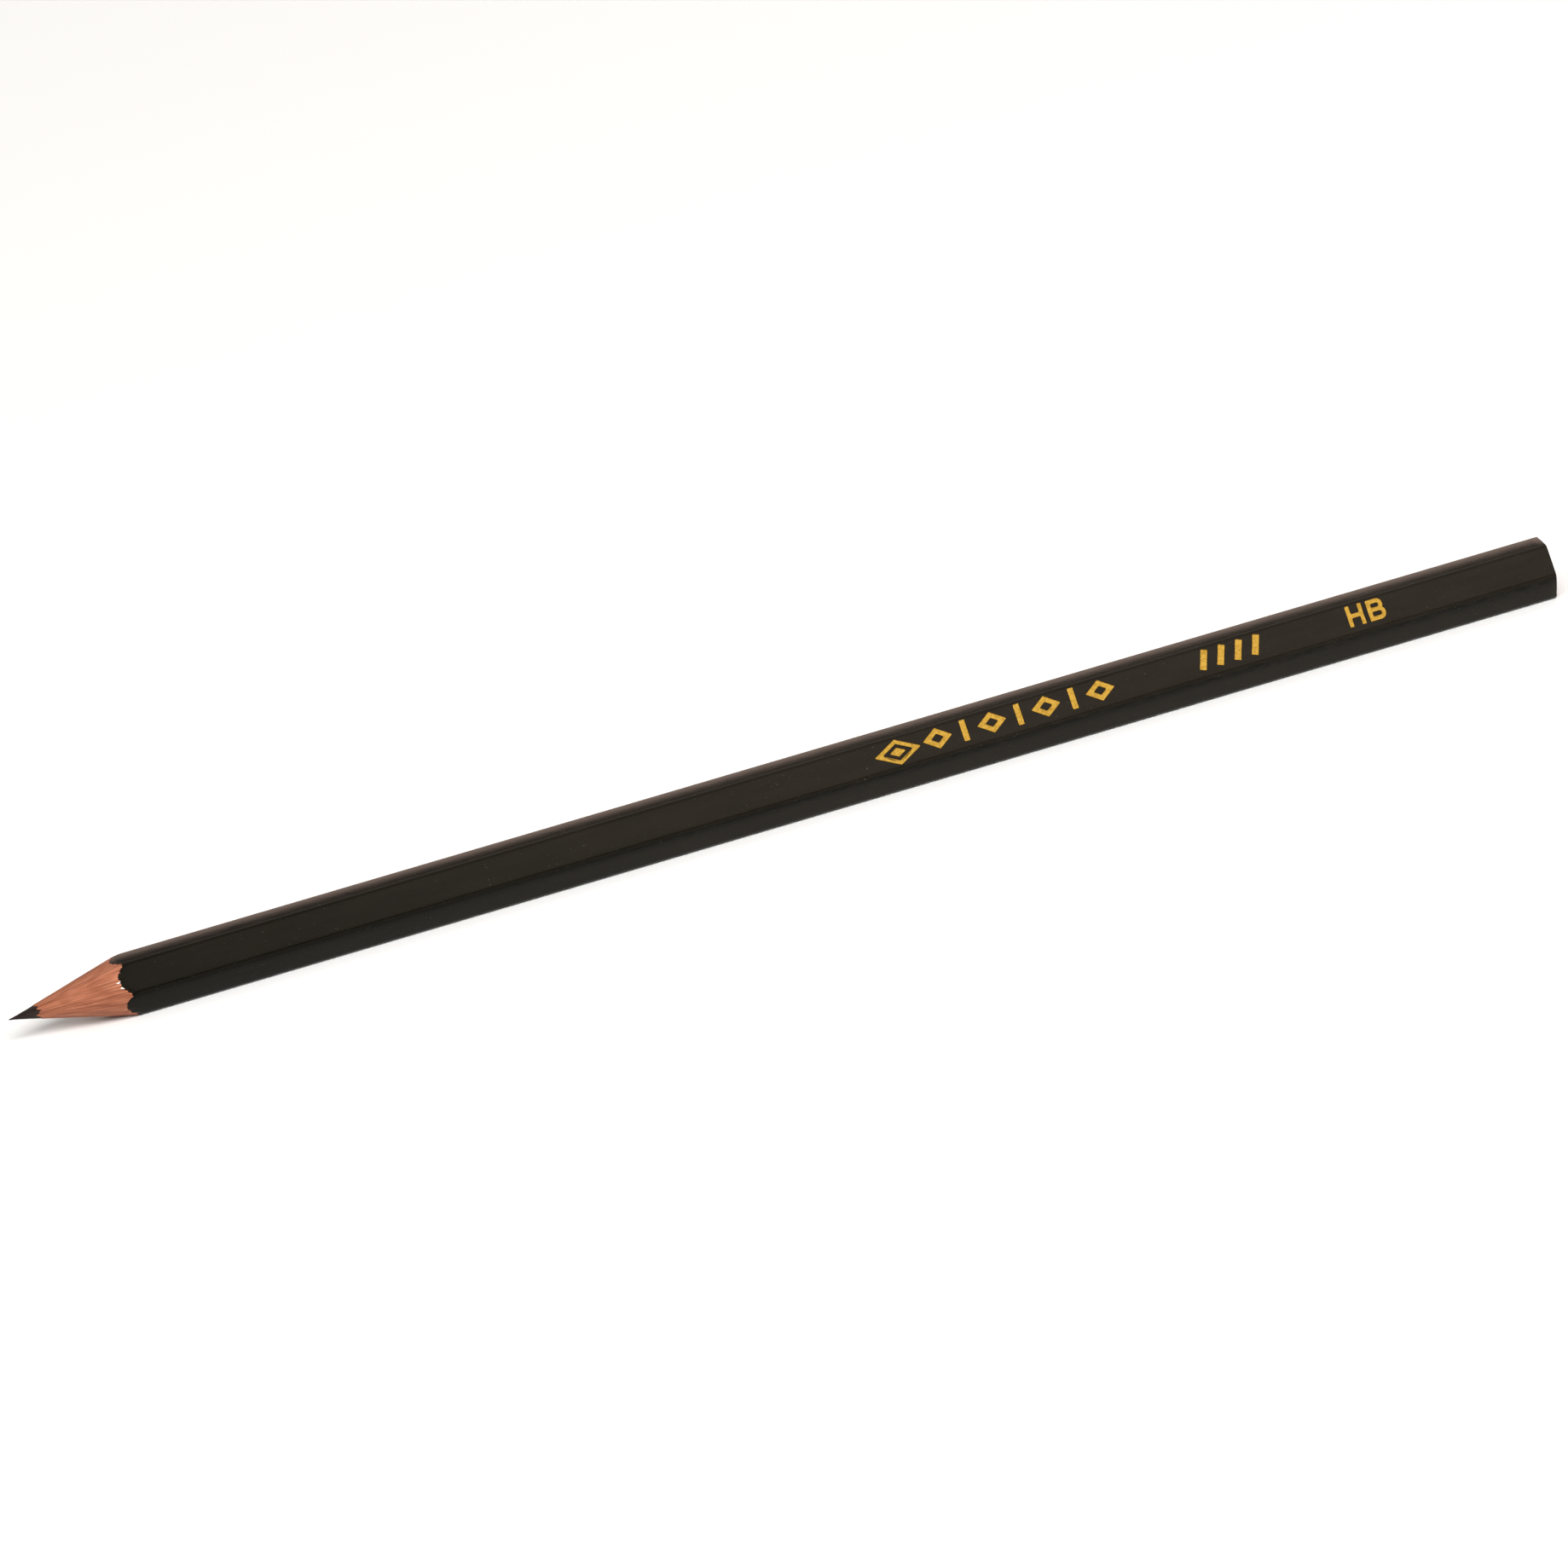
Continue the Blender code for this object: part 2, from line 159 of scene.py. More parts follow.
def make_studio():
    scene = bpy.context.scene
    scene.view_settings.view_transform = "Standard"
    world = bpy.data.worlds.new("studio")
    world.use_nodes = True
    scene.world = world
    background = world.node_tree.nodes["Background"]
    background.inputs["Color"].default_value = WORLD_COLOUR
    background.inputs["Strength"].default_value = WORLD_STRENGTH
    for name, settings in SOFT_BOXES.items():
        make_soft_box(name, *settings)
    bpy.ops.mesh.primitive_plane_add(size=FLOOR_SIZE)
    floor = bpy.context.object
    floor.name = "floor"
    material = bpy.data.materials.new("floor")
    material.use_nodes = True
    shader = material.node_tree.nodes["Principled BSDF"]
    shader.inputs["Base Color"].default_value = FLOOR_COLOUR
    shader.inputs["Roughness"].default_value = FLOOR_ROUGHNESS
    shader.inputs["Specular IOR Level"].default_value = 0.0
    floor.data.materials.append(material)


# ------------------------------------------------------------------ smooth random numbers, the same each run

TORN_SEED, WOOD_SEED, GRAPHITE_SEED = 11, 23, 37
TOOTH_WANDER = 0.45  # of a pitch, that a tooth strays from its place
WANDER_STRETCH, HEIGHT_STRETCH, LEAN_STRETCH = 0.7, 0.77, 0.53
WANDER_ROW, HEIGHT_ROW, LEAN_ROW = 3.3, 8.1, 5.7  # separate rows of the noise

class Ripples:
    """Smooth noise on a lattice of random numbers, for any number of coordinates up to three."""

    SIZE = 32

    def __init__(self, seed):
        self.table = np.random.default_rng(seed).uniform(-1, 1, (self.SIZE,) * 3)

    def __call__(self, x, y=0.0, z=0.0):
        x, y, z = np.broadcast_arrays(*(np.asarray(c, float) for c in (x, y, z)))
        cells, parts = [], []
        for c in (x, y, z):
            cell = np.floor(c).astype(int)
            part = c - cell
            cells.append(cell)
            parts.append(part * part * (3 - 2 * part))
        total = np.zeros(x.shape)
        for corner in np.ndindex(2, 2, 2):
            weight = np.ones(x.shape)
            index = []
            for cell, part, side in zip(cells, parts, corner):
                weight = weight * (part if side else 1 - part)
                index.append((cell + side) % self.SIZE)
            total += weight * self.table[tuple(index)]
        return total


def teeth(noise, place, pitch):
    """A torn, saw-like edge from 0 to 1: slanted teeth of uneven width and height."""
    place = place / pitch + TOOTH_WANDER * noise(place / pitch * WANDER_STRETCH, WANDER_ROW)
    tooth = np.floor(place)
    part = place - tooth
    height = 0.5 + 0.5 * noise(tooth * HEIGHT_STRETCH, HEIGHT_ROW)
    lean = 0.25 + 0.5 * (0.5 + 0.5 * noise(tooth * LEAN_STRETCH, LEAN_ROW))
    ramp = np.where(part < lean, part / lean, (1 - part) / (1 - lean))
    return height * ramp


# ------------------------------------------------------------------ the outline of the bar

EDGE_SPACING = 60  # degrees from one long edge to the next
# the lacquer's darker bands along its round edges are painted shade, for the dark reflection along the front edge
FRONT_EDGE_SHIFT = 2  # degrees, of the painted shade band from the front edge at the point
FRONT_EDGE_DRIFT = 6  # degrees, that it wanders on its way to the sawn end
FRONT_SHADE_WIDTH = 9.0  # degrees
OTHER_SHADE_WIDTH = 7
OTHER_SHADE_SHARE = 0.04
CORNER_ACROSS = np.array((-0.5, COS_30))  # square to the line from the axis through the first corner

def corner_arc():
    """The half angle of a crowned flat's arc, and the centre and radius of the round edge beside it."""
    flat_radius = FLAT_HALF_WIDTH**2 / (2 * CROWN)
    half_angle = math.asin(FLAT_HALF_WIDTH / flat_radius)
    end = np.array((HALF_FLAT - flat_radius + flat_radius * math.cos(half_angle), FLAT_HALF_WIDTH))
    out = np.array((math.cos(half_angle), math.sin(half_angle)))
    radius = (end @ CORNER_ACROSS) / (out @ CORNER_ACROSS)
    return flat_radius, half_angle, end - radius * out, radius


def make_profile(flat_steps, edge_steps):
    """Walks round the bar. Returns each place on the lacquer's surface and the direction out of it there.

    flat_steps has a number for each of the six flats.
    """
    flat_radius, half_angle, edge_centre, edge_radius = corner_arc()
    flat_centre = np.array((HALF_FLAT - flat_radius, 0.0))
    points, outs = [], []
    for flat, steps in enumerate(flat_steps):
        angle = math.radians(EDGE_SPACING / 2 + EDGE_SPACING * flat)
        turn = np.array(((math.cos(angle), -math.sin(angle)), (math.sin(angle), math.cos(angle))))
        arcs = (
            (flat_centre, flat_radius, -half_angle, half_angle, steps),
            (edge_centre, edge_radius, half_angle, math.radians(EDGE_SPACING) - half_angle, edge_steps),
        )
        for centre, radius, start, end, count in arcs:
            for swing in np.linspace(start, end, count, endpoint=False):
                out = np.array((math.cos(swing), math.sin(swing)))
                points.append(turn @ (centre + radius * out))
                outs.append(turn @ out)
    return np.array(points), np.array(outs)


def bar_points(profile, inset):
    """(y, z) from the axis of the bar's surface at an inset, for every place of the profile."""
    points, outs = profile
    return points - np.asarray(inset, float)[..., None] * outs


def painted_edge_shade(profile, x):
    """How much painted shade darkens the lacquer near its round edges: most in a band that wanders along the
    front one.
    """
    points, _ = profile
    angle = np.degrees(np.arctan2(points[:, 1], points[:, 0]))
    half_spacing = EDGE_SPACING / 2
    off_corner = np.abs((angle + half_spacing) % EDGE_SPACING - half_spacing)
    along = (x - POINT_X) / LENGTH
    off_front = np.abs((angle + 360 - FRONT_EDGE_SHIFT - FRONT_EDGE_DRIFT * along) % 360 - 180)
    other_bands = OTHER_SHADE_SHARE * np.exp(-((off_corner / OTHER_SHADE_WIDTH) ** 2))
    return np.maximum(other_bands, np.exp(-((off_front / FRONT_SHADE_WIDTH) ** 2)))


def slope_at(points):
    """The cone's slope in the direction of each (y, z) point, as its axis leans a little."""
    return CONE_SLOPE + points @ CONE_LEAN / np.linalg.norm(points, axis=-1)


def cone_x(points, radius=None):
    """Where the cone has the radius of the points, or a given one, in the points' directions."""
    radius = np.linalg.norm(points, axis=-1) if radius is None else radius
    return POINT_X + radius / slope_at(points)


def profile_lengths(points):
    """How far each place is round the outline from the first one."""
    steps = np.linalg.norm(np.roll(points, -1, 0) - points, axis=1)
    return np.concatenate([[0], np.cumsum(steps)[:-1]])


# ------------------------------------------------------------------ meshes from rows of points

SMOOTH_ANGLE = 40  # degrees, up to which neighbouring faces are shaded as one surface
MERGE_DISTANCE = 1e-9

def add_mesh(name, verts, faces, material, smooth_angle=SMOOTH_ANGLE, shares=()):
    """Makes a piece that rides on the pencil's one body. verts are in millimetres from the axis.

    shares holds (name, a number for each vertex) pairs for the material.
    """
    verts = np.asarray(verts, float).reshape(-1, 3)
    placed = (verts + np.array((0, 0, AXIS_Z))) * MM
    mesh = bpy.data.meshes.new(name)
    mesh.from_pydata(placed.tolist(), [], faces)
    for share_name, values in shares:
        layer = mesh.attributes.new(share_name, "FLOAT", "POINT")
        layer.data.foreach_set("value", np.asarray(values, np.float32))
    bm = bmesh.new()
    bm.from_mesh(mesh)
    bmesh.ops.remove_doubles(bm, verts=bm.verts, dist=MERGE_DISTANCE)
    bmesh.ops.recalc_face_normals(bm, faces=bm.faces)
    bm.to_mesh(mesh)
    bm.free()
    mesh.shade_smooth()
    mesh.set_sharp_from_angle(angle=math.radians(smooth_angle))
    mesh.materials.append(material)
    obj = link(bpy.data.objects.new(name, mesh))
    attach(obj, BODY)
    return obj


def ring_faces(rows, columns, close_rows):
    """Quads between rows of points, each row a closed ring. close_rows joins the last row to the first."""
    faces = []
    for i in range(rows if close_rows else rows - 1):
        a, b = i * columns, (i + 1) % rows * columns
        for j in range(columns):
            k = (j + 1) % columns
            faces.append((a + j, a + k, b + k, b + j))
    return faces


def open_faces(rows, columns):
    """Quads between rows of points that are closed into a loop of rows, with a face at both open sides."""
    faces = []
    for i in range(rows):
        a, b = i * columns, (i + 1) % rows * columns
        for j in range(columns - 1):
            faces.append((a + j, a + j + 1, b + j + 1, b + j))
    faces.append(tuple(i * columns for i in range(rows)))
    faces.append(tuple(i * columns + columns - 1 for i in range(rows - 1, -1, -1)))
    return faces


def row(x, points):
    """One row of (x, y, z) from an x for each place, or one for all, and (y, z) pairs."""
    return np.column_stack([np.broadcast_to(x, len(points)), points])


# ------------------------------------------------------------------ the foil marks' outlines

MARK_HEIGHT = 2.45
MARK_RISE = 0.34
MARK_CORNER = 0.12  # radius of the marks' corners
STROKE = 0.50
B_LOWER_SHARE = 0.53  # of the letter's open height, in its lower bowl
B_UPPER_INSET = STROKE / 4  # the upper bowl's right side from the lower one's
EMBLEM_HALF_HEIGHT = 1.48
EMBLEM_DROP = 0.24  # of its middle under the other marks' line
EMBLEM_HOLE_SHARE = 0.64
EMBLEM_CORE_SHARE = 0.36
DIAMOND_HOLE_SHARE = 0.42
BAR_WIDTH = 0.70
SLASH_WIDTH = 0.80
SLASH_HEIGHT = 2.34
SLASH_LEAN = math.radians(20)
BOWL_STEPS = 14
ROUND_STEPS = 4
SMOOTH_TURN = math.radians(25)  # a smaller turn is part of a curve
LONGEST_REACH = 0.45  # of a side, that a rounded corner may take
POCKET_DEPTH = 0.062
POCKET_WALL = 0.10
POCKET_REACH = 0.05  # of the pocket's wall outside the foil
FOIL_WALL = 0.09  # width of the foil's curled side
FOIL_DISH = 0.036  # depth of its middle under its rim
FOIL_THICKNESS = 0.012
FOIL_RIM = 0.004  # height of its rim over the lacquer


def rectangle(width, height):
    x, y = width / 2, height / 2
    return [(-x, -y), (x, -y), (x, y), (-x, y)]


def diamond(half_width, half_height, up=0):
    return [(-half_width, up), (0, up - half_height), (half_width, up), (0, up + half_height)]


def diamond_frame(half_width, half_height, hole_share, up=0):
    hole = diamond(half_width * hole_share, half_height * hole_share, up)
    return [diamond(half_width, half_height, up), hole]


def slash():
    c, s = math.cos(SLASH_LEAN), math.sin(SLASH_LEAN)
    return [(x * c + y * s, y * c - x * s) for x, y in rectangle(SLASH_WIDTH, SLASH_HEIGHT)]


def letter_h(width):
    x, y = width / 2, MARK_HEIGHT / 2
    inner, bar = width / 2 - STROKE, STROKE / 2
    right = [(inner, -bar), (inner, -y), (x, -y), (x, y), (inner, y), (inner, bar)]
    left = [(-inner, bar), (-inner, y), (-x, y), (-x, -y), (-inner, -y), (-inner, -bar)]
    return [right + left]


def arc(centre, radius, start, end):
    turns = np.linspace(start, end, BOWL_STEPS + 1)
    return [(centre[0] + radius * math.cos(t), centre[1] + radius * math.sin(t)) for t in turns]


def letter_b(width):
    """Two bowls of round ends, whose outsides meet in a waist, and their two holes."""
    half = MARK_HEIGHT / 2
    free = MARK_HEIGHT - 3 * STROKE
    lower_hole = free * B_LOWER_SHARE
    upper_hole = free - lower_hole
    lower_radius = lower_hole / 2 + STROKE
    upper_radius = upper_hole / 2 + STROKE
    right = width / 2
    lower = Vector((right - lower_radius, -half + lower_radius))
    upper = Vector((right - B_UPPER_INSET - upper_radius, half - upper_radius))
    between = upper - lower
    along = (between.length_squared + lower_radius**2 - upper_radius**2) / (2 * between.length)
    aside = math.sqrt(lower_radius**2 - along**2)
    forward = between.normalized()
    waist = lower + forward * along + Vector((forward.y, -forward.x)) * aside
    lower_end = math.atan2(waist.y - lower.y, waist.x - lower.x)
    upper_start = math.atan2(waist.y - upper.y, waist.x - upper.x)
    outline = [(-right, -half)] + arc(lower, lower_radius, -math.pi / 2, lower_end)
    outline += arc(upper, upper_radius, upper_start, math.pi / 2)[1:] + [(-right, half)]
    outlines = [outline]
    for centre, height in ((lower, lower_hole), (upper, upper_hole)):
        left = -right + STROKE
        hole = arc(centre, height / 2, -math.pi / 2, math.pi / 2)
        outlines.append([(left, centre.y - height / 2)] + hole + [(left, centre.y + height / 2)])
    return outlines


def rounded(outline, radius):
    """Rounds each real corner of a closed outline with a short arc, and leaves its curves alone."""
    points = [Vector(p) for p in outline]
    result = []
    for i, point in enumerate(points):
        before = points[i - 1] - point
        after = points[(i + 1) % len(points)] - point
        turn = math.pi - before.angle(after)
        if turn < SMOOTH_TURN:
            result.append(point)
            continue
        longest = LONGEST_REACH * min(before.length, after.length)
        reach = min(radius * math.tan(turn / 2), longest)
        start = point + before.normalized() * reach
        end = point + after.normalized() * reach
        for k in range(ROUND_STEPS + 1):
            t = k / ROUND_STEPS
            result.append(start * (1 - t) ** 2 + point * 2 * t * (1 - t) + end * t**2)
    return [(p.x, p.y) for p in result]


def middle_of(node):
    low, high = box_mm(node)
    return (low[0] + high[0]) / 2


def width_of(node):
    low, high = box_mm(node)
    return high[0] - low[0]


def mark_shapes():
    """{CAD node: (x of its middle, outlines about its middle)} for every foil mark."""
    shapes = {}
    for node in sorted(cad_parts):
        if node.startswith("band_diamond"):
            outlines = diamond_frame(width_of(node) / 2, MARK_HEIGHT / 2, DIAMOND_HOLE_SHARE)
        elif node.startswith("band_bar"):
            outlines = [rectangle(BAR_WIDTH, MARK_HEIGHT)]
        elif node.startswith("slash_bar"):
            outlines = [slash()]
        elif node == "emblem_frame":
            half = width_of(node) / 2
            outlines = diamond_frame(half, EMBLEM_HALF_HEIGHT, EMBLEM_HOLE_SHARE, -EMBLEM_DROP)
        elif node == "emblem_centre":
            half = width_of(node) / 2
            outlines = [diamond(half, EMBLEM_HALF_HEIGHT * EMBLEM_CORE_SHARE, -EMBLEM_DROP)]
        elif node == "grade_letter_h":
            outlines = letter_h(width_of(node))
        elif node == "grade_letter_b":
            outlines = letter_b(width_of(node))
        else:
            continue
        shapes[node] = (middle_of(node), [rounded(o, MARK_CORNER) for o in outlines])
    return shapes


def signed_distance(points, outlines):
    """How far (x, y) points are outside the outlines; inside counts as negative."""
    nearest = np.full(len(points), np.inf)
    inside = np.zeros(len(points), bool)
    for outline in outlines:
        a = np.array(outline)
        b = np.roll(a, -1, 0)
        for p, q in zip(a, b):
            d = q - p
            t = np.clip((points - p) @ d / max(d @ d, 1e-12), 0, 1)
            nearest = np.minimum(nearest, np.linalg.norm(points - p - t[:, None] * d, axis=1))
            crosses = (p[1] > points[:, 1]) != (q[1] > points[:, 1])
            at = p[0] + (points[:, 1] - p[1]) / np.where(q[1] == p[1], 1, q[1] - p[1]) * d[0]
            inside ^= crosses & (points[:, 0] < at)
    return np.where(inside, -nearest, nearest)


# ------------------------------------------------------------------ materials

# linear colours; a pair or a triple goes from the darkest to the lightest
# the lacquer grows lighter from the point to the sawn end: painted light, for light that grows stronger towards
# that end
LACQUER_SHADED_AT_POINT = ((0.0042, 0.0033, 0.0018), (0.0058, 0.0046, 0.0026))
LACQUER_LIT_AT_END = ((0.0105, 0.0084, 0.0054), (0.0135, 0.0107, 0.0072))
LACQUER_EDGE_SHADE = (0.0025, 0.0020, 0.0010)
DUST = (0.16, 0.16, 0.14)
WOOD = ((0.27, 0.084, 0.041), (0.34, 0.116, 0.060), (0.40, 0.16, 0.092))
WOOD_RING = (0.20, 0.056, 0.026)
WOOD_STREAK = (0.125, 0.042, 0.023)
WOOD_PALE = (0.54, 0.27, 0.175)
WOOD_PORE = (0.17, 0.070, 0.045)
WOOD_FLECK = (0.20, 0.085, 0.055)
GRAPHITE = ((0.004, 0.0024, 0.0020), (0.040, 0.025, 0.021))
GOLD = ((0.50, 0.280, 0.040), (0.65, 0.390, 0.066))
# painted shade: a darker red-brown for the curled rims of the foil marks, for the dark outline along their edges
GOLD_RIM_SHADE = (0.40, 0.080, 0.008)
CHALK = ((0.62, 0.56, 0.50), (0.84, 0.80, 0.75))
GLUE = ((0.38, 0.16, 0.09), (0.56, 0.27, 0.16))
RINGS_CENTRE = (0, -0.011, 0.007)  # metres, from the tree's heart to the pencil

class Shader:
    """A small helper that adds shader nodes and links them."""

    def __init__(self, name):
        self.material = bpy.data.materials.new(name)
        self.material.use_nodes = True
        self.tree = self.material.node_tree
        self.principled = self.tree.nodes["Principled BSDF"]

    def node(self, kind, settings=(), **inputs):
        made = self.tree.nodes.new(kind)
        for key, value in dict(settings).items():
            setattr(made, key, value)
        for key, value in inputs.items():
            self.put(made.inputs[key.replace("_", " ")], value)
        return made

    def put(self, socket, value):
        if isinstance(value, bpy.types.NodeSocket):
            self.tree.links.new(value, socket)
        else:
            socket.default_value = value

    def math(self, operation, *values):
        made = self.tree.nodes.new("ShaderNodeMath")
        made.operation = operation
        for socket, value in zip(made.inputs, values):
            self.put(socket, value)
        return made.outputs[0]

    def place(self, scale, shift=(0, 0, 0)):
        """Object coordinates in metres, moved and then stretched by a scale along each axis."""
        at = self.tree.nodes.new("ShaderNodeTexCoord").outputs["Object"]
        mapping = self.node("ShaderNodeMapping", Vector=at)
        mapping.inputs["Location"].default_value = shift
        mapping.inputs["Scale"].default_value = scale
        return mapping.outputs["Vector"]

    def along(self):
        """0 at the point and 1 at the sawn end."""
        at = self.tree.nodes.new("ShaderNodeTexCoord").outputs["Object"]
        x = self.node("ShaderNodeSeparateXYZ", Vector=at).outputs["X"]
        return self.math("ADD", self.math("DIVIDE", x, LENGTH * MM), 0.5)

    def rear_half(self):
        """1 on the half of the bar with the sawn end, where it shows end grain, and 0 on the other."""
        return self.ramp(self.along(), (0.50, 0.0), (0.52, 1.0))

    def attribute(self, name):
        return self.node("ShaderNodeAttribute", {"attribute_name": name}).outputs["Fac"]

    def noise(self, scale, detail=3.0, roughness=0.55):
        """Noise whose grain size along each axis is 1/scale metres."""
        made = self.node("ShaderNodeTexNoise", Vector=self.place(scale), Scale=1.0, Detail=detail)
        made.inputs["Roughness"].default_value = roughness
        return made.outputs["Fac"]

    def radial_noise(self, scale_along, scale_round, detail=3.0, roughness=0.55):
        """Noise in streaks that run along the bar and meet at the point: scales per metre and radian."""
        at = self.tree.nodes.new("ShaderNodeTexCoord").outputs["Object"]

        def vector(operation, a, b=None):
            made = self.tree.nodes.new("ShaderNodeVectorMath")
            made.operation = operation
            self.put(made.inputs[0], a)
            if b is not None:
                self.put(made.inputs[1], b)
            return made.outputs[0]

        off_axis = vector("MULTIPLY", vector("SUBTRACT", at, (0, 0, AXIS_Z * MM)), (0, 1, 1))
        around = vector("MULTIPLY", vector("NORMALIZE", off_axis), (scale_round,) * 3)
        spot = vector("ADD", vector("MULTIPLY", at, (scale_along, 0, 0)), around)
        made = self.node("ShaderNodeTexNoise", Vector=spot, Scale=1.0, Detail=detail, Roughness=roughness)
        return made.outputs["Fac"]

    def ramp(self, value, *stops):
        """A colour ramp from (place, colour) pairs. A colour may be a grey number."""
        made = self.tree.nodes.new("ShaderNodeValToRGB")
        elements = made.color_ramp.elements
        while len(elements) < len(stops):
            elements.new(0.5)
        for element, (place, colour) in zip(elements, stops):
            element.position = place
            colour = (colour,) * 3 if isinstance(colour, (int, float)) else colour
            element.color = (*colour, 1)
        self.put(made.inputs["Fac"], value)
        return made.outputs["Color"]

    def mix(self, factor, a, b):
        made = self.tree.nodes.new("ShaderNodeMix")
        made.data_type = "RGBA"
        self.put(made.inputs[0], factor)
        for socket, value in ((made.inputs[6], a), (made.inputs[7], b)):
            self.put(socket, (*value, 1) if isinstance(value, tuple) else value)
        return made.outputs[2]

    def cover(self, below, mask, strength, colour):
        """Lays a colour over another where the mask is, as strongly as the strength."""
        return self.mix(self.math("MULTIPLY", mask, strength), below, colour)

    def bump(self, height, distance, strength=1.0, below=None):
        made = self.node("ShaderNodeBump", Height=height, Distance=distance, Strength=strength)
        if below is not None:
            self.put(made.inputs["Normal"], below)
        return made.outputs["Normal"]

    def finish(self, **inputs):
        for key, value in inputs.items():
            self.put(self.principled.inputs[key.replace("_", " ")], value)
        return self.material


def lacquer_material():
    s = Shader("black_lacquer")
    near_end = s.along()
    mottle = s.noise((120, 700, 700), detail=4)
    # painted light: the lacquer's colour goes from a darker tone at the point to a lighter one at the sawn end
    shaded_tip_tone = s.ramp(mottle, (0.3, LACQUER_SHADED_AT_POINT[0]), (0.7, LACQUER_SHADED_AT_POINT[1]))
    lit_end_tone = s.ramp(mottle, (0.3, LACQUER_LIT_AT_END[0]), (0.7, LACQUER_LIT_AT_END[1]))
    colour = s.mix(s.ramp(near_end, (0.05, 0.0), (0.55, 1.0)), shaded_tip_tone, lit_end_tone)
    # painted shade: darker lacquer along the round edges, in a band that is smooth at the point and broken up
    # towards the sawn end
    broken = s.ramp(s.noise((700, 2600, 2600), detail=4, roughness=0.7), (0.42, 1.0), (0.62, 0.25))
    edge = s.math("MULTIPLY", s.attribute("edge"), s.mix(near_end, (0.9, 0.9, 0.9), broken))
    colour = s.mix(edge, colour, LACQUER_EDGE_SHADE)
    dust = s.ramp(s.noise((5200, 5200, 5200), detail=1), (0.74, 0.0), (0.80, 1.0))
    colour = s.cover(colour, dust, 0.30, DUST)
    rough = s.ramp(s.noise((400, 2500, 2500), detail=3), (0.3, 0.13), (0.7, 0.20))
    peel = s.bump(s.noise((900, 1600, 1600), detail=2), 0.00002, 0.30)
    grain = s.bump(s.noise((3500, 9000, 9000), detail=2), 0.000006, 0.6, peel)
    return s.finish(Base_Color=colour, Roughness=rough, Normal=grain, Specular_IOR_Level=0.09)


def cedar_material():
    s = Shader("cedar")
    rings = s.node(
        "ShaderNodeTexWave",
        {"wave_type": "RINGS", "rings_direction": "X"},
        Vector=s.place((1, 1, 1), RINGS_CENTRE),
        Scale=330,
        Distortion=1.2,
        Detail=2,
    ).outputs["Fac"]
    rear = s.rear_half()
    fibres = s.radial_noise(190, 15, detail=5, roughness=0.75)
    fibres = s.mix(rear, fibres, s.noise((500, 2600, 7000), detail=5))
    pores = s.radial_noise(420, 34, detail=3, roughness=0.6)
    pores = s.mix(rear, pores, s.noise((900, 9000, 9000), detail=3))
    wide = s.mix(rear, s.radial_noise(60, 2.2, detail=3), s.noise((200, 900, 900), detail=2))
    flecks = s.noise((1200, 6500, 6500), detail=2)
    colour = s.ramp(wide, (0.32, WOOD[0]), (0.5, WOOD[1]), (0.68, WOOD[2]))
    colour = s.cover(colour, s.ramp(rings, (0.55, 0.0), (1.0, 1.0)), 0.35, WOOD_RING)
    streak = s.ramp(fibres, (0.36, 1.0), (0.54, 0.0))
    colour = s.cover(colour, streak, 0.75, WOOD_STREAK)
    pale = s.ramp(fibres, (0.54, 0.0), (0.70, 1.0))
    colour = s.cover(colour, pale, 0.55, WOOD_PALE)
    dark = s.ramp(pores, (0.30, 1.0), (0.42, 0.0))
    colour = s.cover(colour, dark, 0.60, WOOD_PORE)
    fleck = s.ramp(flecks, (0.26, 1.0), (0.36, 0.0))
    colour = s.cover(colour, fleck, 0.40, WOOD_FLECK)
    coarse = s.bump(fibres, 0.00006, 0.8)
    fine = s.bump(pores, 0.00004, 0.8, coarse)
    return s.finish(Base_Color=colour, Roughness=0.72, Normal=fine, Specular_IOR_Level=0.25)


def graphite_material():
    s = Shader("graphite")
    streaks = s.radial_noise(260, 7, detail=4, roughness=0.65)
    streaks = s.mix(s.rear_half(), streaks, s.noise((2500, 5000, 5000), detail=4))
    colour = s.ramp(streaks, (0.38, GRAPHITE[0]), (0.72, GRAPHITE[1]))
    rough = s.ramp(streaks, (0.3, 0.55), (0.7, 0.36))
    return s.finish(
        Base_Color=colour,
        Roughness=rough,
        Metallic=0.1,
        Specular_IOR_Level=0.22,
        Normal=s.bump(streaks, 0.00003, 0.8),
    )


def foil_material():
    s = Shader("gold_foil")
    wear = s.noise((3000, 3000, 3000), detail=3)
    colour = s.ramp(wear, (0.32, GOLD[0]), (0.62, GOLD[1]))
    # painted shade: the foil darkens to red-brown towards its curled rim
    rim = s.ramp(s.attribute("rim"), (0.50, 0.0), (0.85, 1.0))
    colour = s.mix(rim, colour, GOLD_RIM_SHADE)
    rough = s.ramp(wear, (0.3, 0.34), (0.7, 0.22))
    return s.finish(Base_Color=colour, Roughness=rough, Metallic=1.0, Normal=s.bump(wear, 0.00001, 0.4))


def primer_material():
    s = Shader("white_primer")
    chalk = s.noise((4000, 4000, 4000), detail=3)
    colour = s.ramp(chalk, (0.3, CHALK[0]), (0.7, CHALK[1]))
    return s.finish(Base_Color=colour, Roughness=0.7, Normal=s.bump(chalk, 0.00002, 0.5))


def glue_material():
    s = Shader("wood_glue")
    blotch = s.noise((1500, 6000, 6000), detail=2)
    colour = s.ramp(blotch, (0.3, GLUE[0]), (0.7, GLUE[1]))
    return s.finish(Base_Color=colour, Roughness=0.5, Normal=s.bump(blotch, 0.00002, 0.4))


# ------------------------------------------------------------------ the pieces

